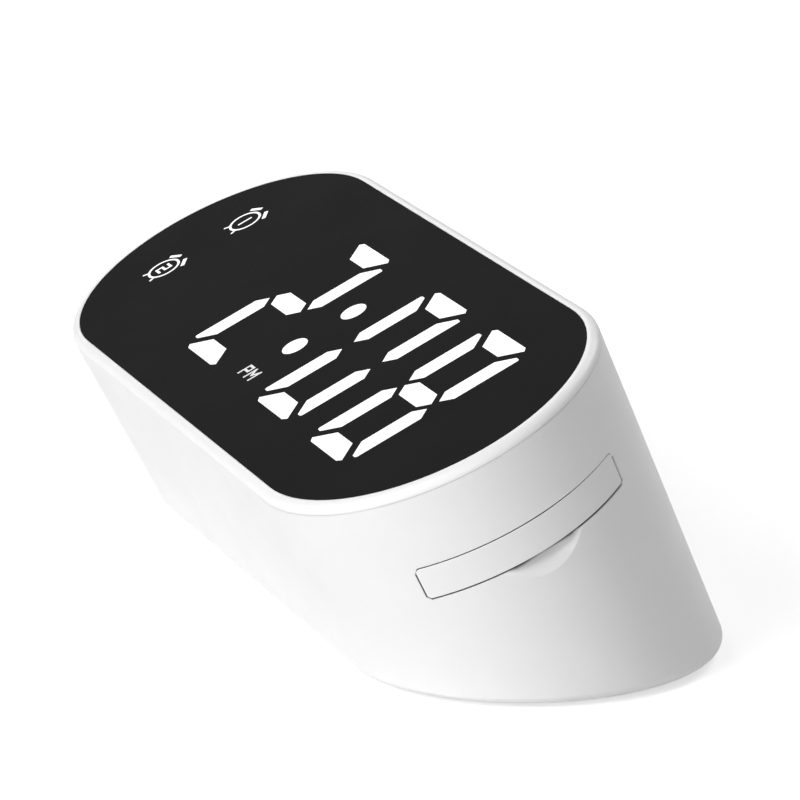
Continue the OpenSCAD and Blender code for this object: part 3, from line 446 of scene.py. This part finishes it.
# A filled body with the bezel's rounded rim
def bezelBody(roundSteps=16):
    centre = -case["rimRound"]
    radius = case["rimRound"] - case["skin"]
    turn = math.radians(90 + case["draft"])
    reach = wallRadius(centre) - case["skin"] - radius / math.cos(turn - math.pi / 2)
    inner = reach - case["rimWidth"]
    columns = []
    for middle, cosine, sine in pillOutline():
        column = [Vector((middle + inner * cosine, inner * sine, -case["skin"]))]
        for i in range(roundSteps + 1):
            angle = math.pi / 2 - turn * i / roundSteps
            out = reach + radius * math.cos(angle)
            column.append(Vector((middle + out * cosine, out * sine, centre + radius * math.sin(angle))))
        column.append(onWall(middle, cosine, sine, -case["rimDepth"]))
        columns.append(column)
    return ringsToMesh(list(zip(*columns)), onFace)


wallTest = {
    "near": 0.01,           # a corner lies on the wall when it is this near
    "aligned": 0.985,       # and its face turns no further from the wall, as a cosine
}


# The drafted wall's own normals, so that cuts in it leave its shading alone
def wallNormals(mesh):
    back = onFace.inverted()
    half = case["straight"] / 2
    turned = onFace.to_3x3().normalized()
    normals = []
    for face in mesh.polygons:
        for index in face.vertices:
            x, y, z = back @ mesh.vertices[index].co
            aside = Vector((x - max(-half, min(half, x)), y))
            reach = aside.length
            normal = Vector((0, 0, 0))
            if abs(reach - wallRadius(z) + case["skin"]) < wallTest["near"]:
                guess = (turned @ Vector((aside.x / reach, aside.y / reach, -draftSlope))).normalized()
                if guess.dot(face.normal) > wallTest["aligned"]:
                    normal = guess
            normals.append(normal)
    mesh.normals_split_custom_set(normals)


shell = combine(nodeMesh("housing"), caseBody(), "INTERSECT")
smooth(shell)
wallNormals(shell)
newPiece("case_shell", shell, "case_plastic", "root", ("housing",))
rim = combine(nodeMesh("bezel"), bezelBody(), "INTERSECT")
smooth(rim)
wallNormals(rim)
newPiece("bezel_ring", rim, "case_plastic", "root", ("bezel",))
print("case shell and bezel:", len(shell.polygons), "and", len(rim.polygons), "faces")

# Port flap: a panel bent round the case's end, flush with the wall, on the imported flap's arms
flap = {
    "top": -14.2,
    "height": 5.8,
    "thickness": 1.6,
    "halfSweep": 38.0,      # degrees each side of the case's end
    "bevel": 40.0,          # slope of its top edge
    "corner": 0.9,
    "edge": 0.2,            # rounding along its front edges
    "backShort": 0.25,      # it is cut this much short at its back end
    "backLift": 0.2,        # and stands this much higher there
    "liftFrom": 5.0,        # the lift starts at this angle
    "armOverlap": 0.05,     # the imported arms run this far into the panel
    "edgeSteps": 5,
    "sweepSteps": 72,
    # distances from an end at which its rounded corners are drawn
    "cornerSteps": (0.0, 0.02, 0.06, 0.12, 0.2, 0.3, 0.45, 0.65, 0.9),
    "depth": 36.0,          # the arms are cut off in a body this deep
}


# Section of the panel at an angle, at a distance from the panel's nearer end
def flapColumn(angle, gap):
    back = max(0.0, (angle - flap["liftFrom"]) / flap["halfSweep"])
    lift = flap["backLift"] * back
    radius = max(flap["corner"] - gap, 0.0)
    narrowing = flap["corner"] - math.sqrt(max(flap["corner"] ** 2 - radius ** 2, 0.0))
    top = flap["top"] - narrowing + lift
    low = flap["top"] - flap["height"] + narrowing + lift
    sunk = max(flap["edge"] - gap, 0.0)
    sink = flap["edge"] - math.sqrt(max(flap["edge"] ** 2 - sunk ** 2, 0.0)) + case["skin"]
    inner = flap["thickness"]
    slope = math.tan(math.radians(flap["bevel"]))
    outerTop = Vector((wallRadius(top) - sink, top))
    outerLow = Vector((wallRadius(low) - sink, low))
    innerTop = Vector((wallRadius(top) - inner, top - inner * slope))
    innerLow = Vector((wallRadius(low) - inner, low))
    edge, steps = flap["edge"], flap["edgeSteps"]
    along = (outerLow - outerTop).normalized() * edge
    topInwards = (innerTop - outerTop).normalized() * edge
    lowInwards = (innerLow - outerLow).normalized() * edge
    upper = roundedCorner(outerTop + topInwards, outerTop, outerTop + along,
                          math.radians(90 - flap["bevel"]), steps)
    lower = roundedCorner(outerLow - along, outerLow, outerLow + lowInwards, math.radians(90), steps)
    turn = math.radians(angle)
    return [Vector((case["straight"] / 2 + r * math.cos(turn), r * math.sin(turn), z))
            for r, z in [innerTop] + upper + lower + [innerLow]]


def flapPanel():
    perDegree = math.radians(1) * case["rimRadius"]
    start = -flap["halfSweep"]
    end = flap["halfSweep"] - flap["backShort"] / perDegree
    near = list(flap["cornerSteps"])
    corner = flap["corner"] / perDegree
    steps = flap["sweepSteps"]
    middle = [start + corner + (end - start - 2 * corner) * i / steps for i in range(1, steps)]
    front = [start + gap / perDegree for gap in near]
    rear = [end - gap / perDegree for gap in near[::-1]]
    angles = front + middle + rear
    gaps = near + [flap["corner"]] * len(middle) + near[::-1]
    return ringsToMesh([flapColumn(angle, gap) for angle, gap in zip(angles, gaps)], onFace)


# A filled body under the display, inset from the outer wall
def insideBody(inset):
    rings = []
    for z in (0, -flap["depth"]):
        rings.append([onWall(*place, z, inset - case["skin"]) for place in pillOutline()])
    return ringsToMesh(rings, onFace)


flapArms = combine(nodeMesh("port_flap"), insideBody(flap["thickness"] - flap["armOverlap"]), "INTERSECT")
panel = combine(flapPanel(), flapArms, "UNION")
smooth(panel)
wallNormals(panel)
newPiece("flap_panel", panel, "case_plastic", "port_flap", ("port_flap",))
print("port flap:", len(panel.polygons), "faces")

# Setting button: a dished cap with a rounded edge, on a flange and stem
cap = {
    "radius": 4.0,
    "hub": 0.01,                    # tiny flat at the very middle
    "dish": 0.25,
    "dishSteps": 10,
    "round": 0.5,
    "roundSteps": 8,
    "flange": (5.0, 3.8, 4.6),      # radius, and how deep it starts and ends
    "stem": (1.5, 5.5),             # radius, and how deep it ends
}
onBackWall = onFace @ Matrix.Rotation(math.radians(-90 - case["draft"]), 4, "X")


def capProfile():
    flat = cap["radius"] - cap["round"]
    points = []
    for i in range(cap["dishSteps"]):
        share = i / cap["dishSteps"]
        points.append((flat * share + cap["hub"], -cap["dish"] * (1 - share ** 2) ** 2))
    for i in range(cap["roundSteps"] + 1):
        turn = math.pi / 2 * (1 - i / cap["roundSteps"])
        points.append((flat + cap["round"] * math.cos(turn), cap["round"] * (math.sin(turn) - 1)))
    flange, start, end = cap["flange"]
    stem, foot = cap["stem"]
    return points + [(cap["radius"], -start), (flange, -start), (flange, -end), (stem, -end), (stem, -foot)]


for name in ("set_button", "up_button", "down_button", "alarm_button"):
    low, high = looseBoxes(name, onBackWall)[0]
    spot = Matrix.Translation(((low.x + high.x) / 2, (low.y + high.y) / 2, high.z))
    button = latheMesh(capProfile(), onBackWall @ spot)
    smooth(button)
    newPiece(name + "_cap", button, "button_plastic", name, (name,))
print("buttons made")

# Small repeated pieces come from Geometry Nodes. The trees work in millimetres in a place of their
# own, on a mesh of bare points
fineParts = {
    "headSides": 40,
    "shankSides": 20,
    "threadSteps": 16,      # to each turn
    "footSides": 48,
    "ribSides": 8,
    "contactSides": 12,
    "stripCuts": 6,         # points along a contact strip
    "smoothBelow": 35,      # degrees between faces
}


def startTree(name, sizes):
    tree = bpy.data.node_groups.new(name, "GeometryNodeTree")
    tree.interface.new_socket("Points", in_out="INPUT", socket_type="NodeSocketGeometry")
    for label, size in sizes.items():
        socket = tree.interface.new_socket(label, in_out="INPUT", socket_type="NodeSocketFloat")
        socket.default_value = size
    tree.interface.new_socket("Finish", in_out="INPUT", socket_type="NodeSocketMaterial")
    tree.interface.new_socket("Geometry", in_out="OUTPUT", socket_type="NodeSocketGeometry")
    return tree, addNode(tree, "NodeGroupInput").outputs


# Two numbers, or two sockets, or one of each
def mathNode(tree, operation, first, second):
    node = addNode(tree, "ShaderNodeMath", {"operation": operation})
    for index, value in enumerate((first, second)):
        if isinstance(value, (int, float)):
            node.inputs[index].default_value = value
        else:
            tree.links.new(value, node.inputs[index])
    return node.outputs[0]


# A mesh moved along one axis, upwards unless another is named
def lifted(tree, mesh, height, axis="Z"):
    offset = addNode(tree, "ShaderNodeCombineXYZ", None, {axis: height})
    return addNode(tree, "GeometryNodeTransform", None,
                   {"Geometry": mesh, "Translation": offset.outputs[0]}).outputs[0]


def joined(tree, meshes):
    node = addNode(tree, "GeometryNodeJoinGeometry")
    for mesh in meshes:
        tree.links.new(mesh, node.inputs[0])
    return node.outputs[0]


# Copies at the points, made real, with their finish
def endTree(tree, given, mesh):
    copies = addNode(tree, "GeometryNodeInstanceOnPoints", None,
                     {"Points": given["Points"], "Instance": mesh}).outputs[0]
    real = addNode(tree, "GeometryNodeRealizeInstances", None, {"Geometry": copies}).outputs[0]
    done = addNode(tree, "GeometryNodeSetMaterial", None, {"Geometry": real, "Material": given["Finish"]})
    addNode(tree, "NodeGroupOutput", None, {"Geometry": done.outputs[0]})
    return tree


# The tree's mesh on bare points, as plain mesh in the shared frame
def growOnPoints(tree, points, values, material, place):
    mesh = bpy.data.meshes.new("points")
    mesh.from_pydata([tuple(point) for point in points], [], [])
    values = dict(values, Finish=material)
    host = bpy.data.objects.new("host", mesh)
    bpy.context.scene.collection.objects.link(host)
    step = host.modifiers.new("grow", "NODES")
    step.node_group = tree
    for item in tree.interface.items_tree:
        if item.item_type == "SOCKET" and item.in_out == "INPUT" and item.name in values:
            step[item.identifier] = values[item.name]
    ready = host.evaluated_get(bpy.context.evaluated_depsgraph_get())
    result = bpy.data.meshes.new_from_object(ready)
    host.modifiers.remove(step)
    bpy.data.objects.remove(host)
    result.transform(place)
    smooth(result, fineParts["smoothBelow"])
    return result


# Pan-head screw: its head's seat is at the point, and its shank runs up. Slot and Reach are the
# recess's width and length in head radii, Taper is the point's length in shank radii, and Tip its
# end's share of the core
screwSizes = {
    "Head Radius": 1.7, "Head Height": 1.2, "Head Edge": 0.35, "Slot": 0.24, "Reach": 1.2,
    "Shank Radius": 0.8, "Length": 5.6, "Thread": 0.1, "Turns": 8.0, "Taper": 1.2, "Tip": 0.3,
}


# The head is cut by a cross recess, and a three-sided ridge runs round the shank
def screwTree():
    tree, given = startTree("panHeadScrew", screwSizes)
    radius, height, edge = given["Head Radius"], given["Head Height"], given["Head Edge"]
    wall = mathNode(tree, "SUBTRACT", height, edge)
    crownLow = mathNode(tree, "SUBTRACT", radius, edge)
    crown = addNode(tree, "GeometryNodeMeshCone", {"Vertices": fineParts["headSides"]},
                    {"Radius Top": radius, "Radius Bottom": crownLow, "Depth": edge})
    side = addNode(tree, "GeometryNodeMeshCylinder", {"Vertices": fineParts["headSides"]},
                   {"Radius": radius, "Depth": wall})
    below = mathNode(tree, "MULTIPLY", height, -1.0)
    crownUp = lifted(tree, crown.outputs[0], below)
    sideUp = lifted(tree, side.outputs[0], mathNode(tree, "MULTIPLY", wall, -0.5))
    head = addNode(tree, "GeometryNodeMeshBoolean", {"operation": "UNION", "solver": "EXACT"})
    tree.links.new(crownUp, head.inputs["Mesh 2"])
    tree.links.new(sideUp, head.inputs["Mesh 2"])
    slot = mathNode(tree, "MULTIPLY", radius, given["Slot"])
    reach = mathNode(tree, "MULTIPLY", radius, given["Reach"])
    cut = addNode(tree, "GeometryNodeMeshBoolean", {"operation": "DIFFERENCE", "solver": "EXACT"},
                  {"Mesh 1": head.outputs[0]})
    for across, along in ((slot, reach), (reach, slot)):
        size = addNode(tree, "ShaderNodeCombineXYZ", None, {"X": across, "Y": along, "Z": height})
        bar = addNode(tree, "GeometryNodeMeshCube", None, {"Size": size.outputs[0]})
        tree.links.new(lifted(tree, bar.outputs[0], below), cut.inputs["Mesh 2"])
    length, shankRadius = given["Length"], given["Shank Radius"]
    core = mathNode(tree, "SUBTRACT", shankRadius, given["Thread"])
    point = mathNode(tree, "MULTIPLY", shankRadius, given["Taper"])
    straight = mathNode(tree, "SUBTRACT", length, point)
    shank = addNode(tree, "GeometryNodeMeshCylinder", {"Vertices": fineParts["shankSides"]},
                    {"Radius": core, "Depth": straight})
    shankUp = lifted(tree, shank.outputs[0], mathNode(tree, "MULTIPLY", straight, 0.5))
    tipTop = mathNode(tree, "MULTIPLY", core, given["Tip"])
    tip = addNode(tree, "GeometryNodeMeshCone", {"Vertices": fineParts["shankSides"]},
                  {"Radius Top": tipTop, "Radius Bottom": core, "Depth": point})
    tipUp = lifted(tree, tip.outputs[0], straight)
    helix = addNode(tree, "GeometryNodeCurveSpiral", {"Resolution": fineParts["threadSteps"]},
                    {"Rotations": given["Turns"], "Start Radius": core, "End Radius": core,
                     "Height": straight})
    ridge = addNode(tree, "GeometryNodeCurvePrimitiveCircle", {"Resolution": 3},
                    {"Radius": given["Thread"]})
    thread = addNode(tree, "GeometryNodeCurveToMesh", {"Fill Caps": True},
                     {"Curve": helix.outputs[0], "Profile Curve": ridge.outputs[0]})
    return endTree(tree, given, joined(tree, [cut.outputs[0], shankUp, tipUp, thread.outputs[0]]))


flipped = Matrix.Rotation(math.pi, 4, "X")
screws = {
    # node: place, and the head radius, head height, shank radius and thread turns
    "base_screws": (onGround, 2.3, 1.1, 1.2, 9.0),
    "display_screws": (onFace, 1.7, 1.2, 0.8, 8.0),
    "main_board_screws": (onGround @ flipped, 1.7, 1.2, 0.8, 8.0),
    "usb_board_screw": (onFace @ flipped, 1.7, 1.2, 0.8, 6.0),
    "key_board_screws": (onBackWall, 1.7, 1.2, 0.8, 8.0),
}
panHead = screwTree()
for name, (place, headRadius, headHeight, shankRadius, turns) in screws.items():
    seats = []
    for low, high in looseBoxes(name, place):
        seats.append(((low.x + high.x) / 2, (low.y + high.y) / 2, low.z + headHeight))
        length = high.z - low.z - headHeight
    values = {"Head Radius": headRadius, "Head Height": headHeight, "Shank Radius": shankRadius,
              "Length": length, "Turns": turns}
    threaded = growOnPoints(panHead, seats, values, finishes["zinc_steel"], place)
    newPiece(name + "_threaded", threaded, "zinc_steel", "root", (name,))
print("screws made:", len(screws), "sets")

# Rubber foot: a pad with a rounded edge, and ribs on its underside
footSizes = {"Radius": 5.0, "Height": 1.9, "Edge": 0.35, "Rib": 0.2, "Outer Ring": 3.7, "Inner Ring": 2.0}


def footTree():
    tree, given = startTree("ribbedFoot", footSizes)
    radius, height, edge, rib = given["Radius"], given["Height"], given["Edge"], given["Rib"]
    sides = fineParts["footSides"]
    lowRadius = mathNode(tree, "SUBTRACT", radius, edge)
    low = addNode(tree, "GeometryNodeMeshCone", {"Vertices": sides},
                  {"Radius Top": radius, "Radius Bottom": lowRadius, "Depth": edge})
    body = mathNode(tree, "SUBTRACT", height, mathNode(tree, "ADD", edge, rib))
    pad = addNode(tree, "GeometryNodeMeshCylinder", {"Vertices": sides}, {"Radius": radius, "Depth": body})
    middle = mathNode(tree, "SUBTRACT", height, mathNode(tree, "MULTIPLY", body, 0.5))
    parts = [lifted(tree, low.outputs[0], rib), lifted(tree, pad.outputs[0], middle)]
    profile = addNode(tree, "GeometryNodeCurvePrimitiveCircle", {"Resolution": fineParts["ribSides"]},
                      {"Radius": rib})
    for ring in ("Outer Ring", "Inner Ring"):
        loop = addNode(tree, "GeometryNodeCurvePrimitiveCircle", {"Resolution": sides},
                       {"Radius": given[ring]})
        tube = addNode(tree, "GeometryNodeCurveToMesh", None,
                       {"Curve": loop.outputs[0], "Profile Curve": profile.outputs[0]})
        parts.append(lifted(tree, tube.outputs[0], rib))
    return endTree(tree, given, joined(tree, parts))


footPoints = []
for low, high in looseBoxes("rubber_feet", onGround):
    footPoints.append(((low.x + high.x) / 2, (low.y + high.y) / 2, low.z))
    footHeight = high.z - low.z
feet = growOnPoints(footTree(), footPoints, {"Height": footHeight}, finishes["foot_rubber"], onGround)
newPiece("ribbed_feet", feet, "foot_rubber", "root", ("rubber_feet",))
print("feet made:", len(footPoints))

# USB-C contacts: a row of strips on each face of the tongue
contactSizes = {"Width": 0.24, "Length": 4.0, "Thickness": 0.06}
contacts = {
    "pitch": 0.5,
    "row": 12,
    "tongueHalf": 0.35,     # half the tongue's thickness
    "proud": 0.02,          # strips stand this much out of the tongue
    "fromMouth": 3.3,       # middle of a strip, behind the socket's mouth
}


def contactTree():
    tree, given = startTree("contactStrip", contactSizes)
    size = addNode(tree, "ShaderNodeCombineXYZ", None,
                   {"X": given["Length"], "Y": given["Width"], "Z": given["Thickness"]})
    strip = addNode(tree, "GeometryNodeMeshCube", {"Vertices X": fineParts["stripCuts"]},
                    {"Size": size.outputs[0]})
    end = addNode(tree, "GeometryNodeMeshCylinder", {"Vertices": fineParts["contactSides"]},
                  {"Radius": mathNode(tree, "MULTIPLY", given["Width"], 0.5), "Depth": given["Thickness"]})
    half = mathNode(tree, "MULTIPLY", given["Length"], 0.5)
    tip = lifted(tree, end.outputs[0], half, "X")
    shape = addNode(tree, "GeometryNodeMeshBoolean", {"operation": "UNION", "solver": "EXACT"})
    tree.links.new(strip.outputs[0], shape.inputs["Mesh 2"])
    tree.links.new(tip, shape.inputs["Mesh 2"])
    return endTree(tree, given, shape.outputs[0])


(socketLow, socketHigh), = looseBoxes("usb_socket", onFace)
socketMiddle = (socketLow + socketHigh) / 2
contactPoints = []
for side in (-1, 1):
    for i in range(contacts["row"]):
        across = (i - (contacts["row"] - 1) / 2) * contacts["pitch"]
        level = side * (contacts["tongueHalf"] + contacts["proud"] - contactSizes["Thickness"] / 2)
        contactPoints.append((socketHigh.x - contacts["fromMouth"], socketMiddle.y + across,
                              socketMiddle.z + level))
strips = growOnPoints(contactTree(), contactPoints, {}, giltContact, onFace)
newPiece("usb_contacts", strips, "spring_brass", "root", (), giltContact)
print("USB contacts made:", len(contactPoints))

# Studio: floor, world and lamps
studio = {
    "floorColours": ("#E6E6E6", "#E3E3E3"),
    "floorFibre": 900.0,    # scale of the paper's fine cloud
    "floorSize": 5.0,
    "floorLift": 0.55,      # light that only the background rays see
    "ambient": 0.02,
    "aim": (0, 0, 0.03),    # where every lamp points
    # turn from the front towards the right end, rise, distance, size, level
    "lamps": {
        "keySoftbox": (20, 40, 1.5, 0.8, 0.43),
        "frontCard": (15, 12, 1.6, 0.8, 0.42),
        "leftSoftbox": (-90, 35, 1.6, 0.8, 0.14),
        "endCard": (75, 15, 1.8, 0.8, 0.26),
        "backSoftbox": (-150, 45, 1.5, 0.8, 0.35),
    },
}


# 1 for the rays that see the background itself or mirrored, 0 for those that light the object
def backgroundRays(tree):
    rays = addNode(tree, "ShaderNodeLightPath")
    seen = addNode(tree, "ShaderNodeMath", {"operation": "MAXIMUM"},
                   {0: rays.outputs["Is Camera Ray"], 1: rays.outputs["Is Glossy Ray"]})
    return addNode(tree, "ShaderNodeMath", {"operation": "MAXIMUM"},
                   {0: seen.outputs[0], 1: rays.outputs["Is Transmission Ray"]}).outputs[0]


floorMesh = bpy.data.meshes.new("studioFloor")
reach = studio["floorSize"] / 2
floorMesh.from_pydata([(-reach, -reach, 0), (reach, -reach, 0), (reach, reach, 0), (-reach, reach, 0)], [],
                      [(0, 1, 2, 3)])
floorPiece = bpy.data.objects.new("studioFloor", floorMesh)
bpy.context.scene.collection.objects.link(floorPiece)

# matt seamless paper: pale and even, with fibres too fine to see singly
paperLook = {"Roughness": 0.9, "IOR": 1.3, "Emission Color": (1, 1, 1, 1)}
paper, paperTree, paperWhere, paperBsdf = startMaterial("studioPaper", paperLook)
fibre = addNode(paperTree, "ShaderNodeTexNoise", {"Scale": studio["floorFibre"]}, {"Vector": paperWhere})
firstTone, secondTone = (hexColour(tone) for tone in studio["floorColours"])
tint = addNode(paperTree, "ShaderNodeMix", {"data_type": "RGBA", 6: firstTone, 7: secondTone},
               {0: fibre.outputs[0]})
paperTree.links.new(tint.outputs[2], paperBsdf.inputs["Base Color"])
lift = addNode(paperTree, "ShaderNodeMath", {"operation": "MULTIPLY", 1: studio["floorLift"]},
               {0: backgroundRays(paperTree)})
paperTree.links.new(lift.outputs[0], paperBsdf.inputs["Emission Strength"])
floorMesh.materials.append(paper)

world = bpy.data.worlds.new("studioWorld")
bpy.context.scene.world = world
world.use_nodes = True
worldTree = world.node_tree
worldTree.nodes.clear()
level = addNode(worldTree, "ShaderNodeMapRange", {"To Min": studio["ambient"], "To Max": 1.0},
                {"Value": backgroundRays(worldTree)})
sky = addNode(worldTree, "ShaderNodeBackground", {"Color": (1, 1, 1, 1)}, {"Strength": level.outputs[0]})
addNode(worldTree, "ShaderNodeOutputWorld", None, {"Surface": sky.outputs[0]})

for name, (turn, rise, distance, size, amount) in studio["lamps"].items():
    lamp = bpy.data.lights.new(name, "AREA")
    lamp.shape = "DISK"
    lamp.size = size
    lamp.energy = amount * math.pi ** 2 * distance ** 2    # level 1 lights a white card to white
    aside, above = math.radians(turn), math.radians(rise)
    spot = Vector((math.sin(aside) * math.cos(above), -math.cos(aside) * math.cos(above), math.sin(above)))
    holder = bpy.data.objects.new(name, lamp)
    holder.matrix_world = aimed(spot * distance, studio["aim"])
    holder.visible_camera = False
    bpy.context.scene.collection.objects.link(holder)
print("studio ready")
